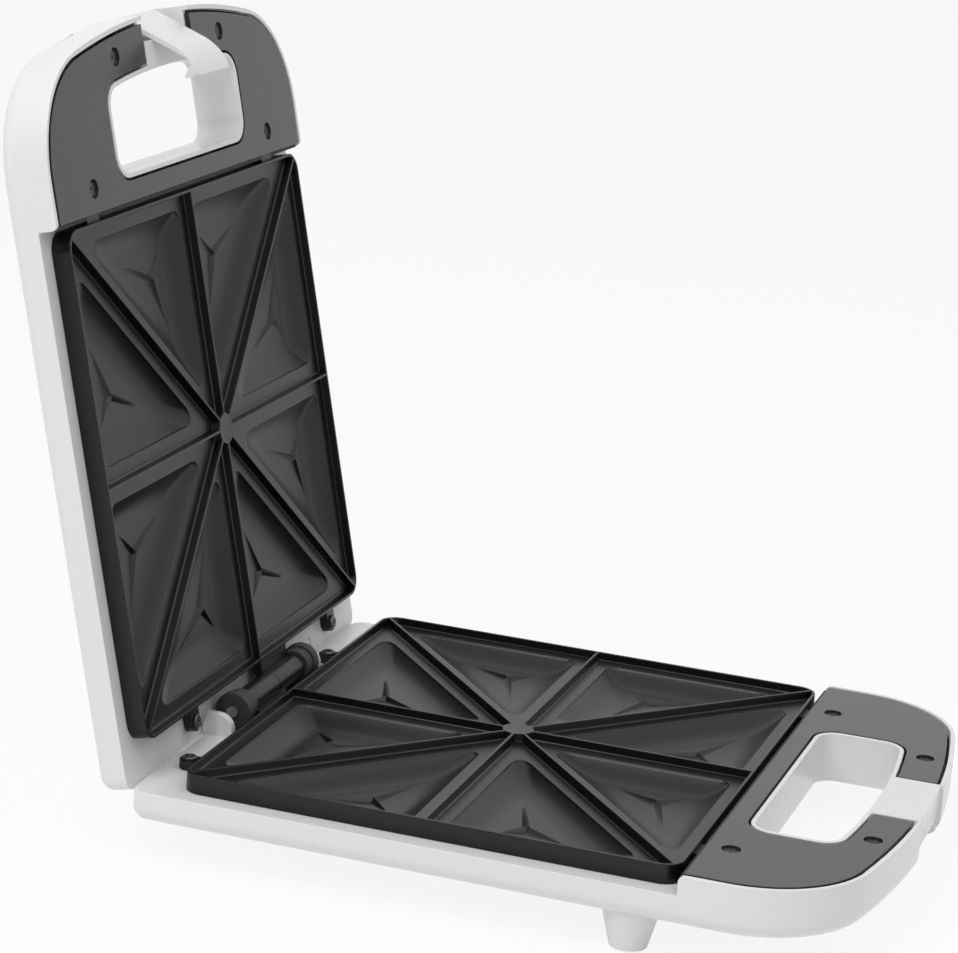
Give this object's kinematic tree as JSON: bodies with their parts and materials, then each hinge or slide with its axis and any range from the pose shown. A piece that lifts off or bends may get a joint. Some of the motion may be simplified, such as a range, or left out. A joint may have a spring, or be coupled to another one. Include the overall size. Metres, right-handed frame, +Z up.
{
  "type": "sandwich toaster",
  "caption": "Countertop sandwich toaster, opened like a book: white housings, black ribbed plates with triangular pockets, D-shaped grips, hinged lid, swinging latch clip.",
  "frame": {"origin": "centre of the open appliance's footprint box, on the surface that its feet stand on", "axes": "+X along the hinge, +Y from the base handle towards the hinge and the raised lid, +Z up"},
  "size_m": [0.267, 0.3942, 0.3388],
  "materials": {
    "white_housing": "satin white moulded plastic",
    "black_trim": "polished black plastic",
    "coated_plate": "black non-stick coating on cast aluminium",
    "dark_screw": "blackened steel",
    "steel_pin": "bright steel",
    "dark_collar": "matt black plastic",
    "element_sheath": "oxidised steel tube",
    "bright_sheet": "bright rolled sheet",
    "phenolic": "brown moulded resin",
    "ceramic_white": "glazed ceramic",
    "black_rubber": "matt rubber",
    "red_lens": "clear red plastic",
    "green_lens": "clear green plastic",
    "lamp_glass": "clear glass bulb"
  },
  "bodies": {
    "base": {"base_shell": "white_housing", "base_plate": "coated_plate", "base_trim": "black_trim", "base_trim_screws": "dark_screw", "base_lug_screws": "dark_screw", "base_element": "element_sheath", "base_element_clips": "bright_sheet", "base_reflector": "bright_sheet", "thermostat": "phenolic", "thermal_fuse": "ceramic_white", "terminal_block": "ceramic_white", "cord_gland": "black_rubber", "foot_pads": "black_rubber", "hinge_pin": "steel_pin", "hinge_ears": "dark_collar", "hinge_collars": "dark_collar"},
    "lid": {"lid_shell": "white_housing", "lid_plate": "coated_plate", "lid_trim": "black_trim", "lid_trim_screws": "dark_screw", "lid_lug_screws": "dark_screw", "lid_element": "element_sheath", "lid_element_clips": "bright_sheet", "lid_reflector": "bright_sheet", "power_lamp_lens": "red_lens", "ready_lamp_lens": "green_lens", "neon_lamps": "lamp_glass", "latch_pin": "steel_pin"},
    "latch": {"latch_clip": "white_housing"}
  },
  "joints": [
    {"name": "lid_hinge", "type": "hinge", "parent": "base", "child": "lid", "pos_m": [0, 0.10968, 0.03977], "axis": [1, 0, 0], "range_deg": [0, 102.34]},
    {"name": "latch_pivot", "type": "hinge", "parent": "lid", "child": "latch", "pos_m": [0, 0.19233, 0.33087], "axis": [-1, 0, 0], "range_deg": [0, 48]}
  ],
  "couplings": [
    {"joint": "latch_pivot", "follows": "lid_hinge", "ratio": 0.469}
  ]
}
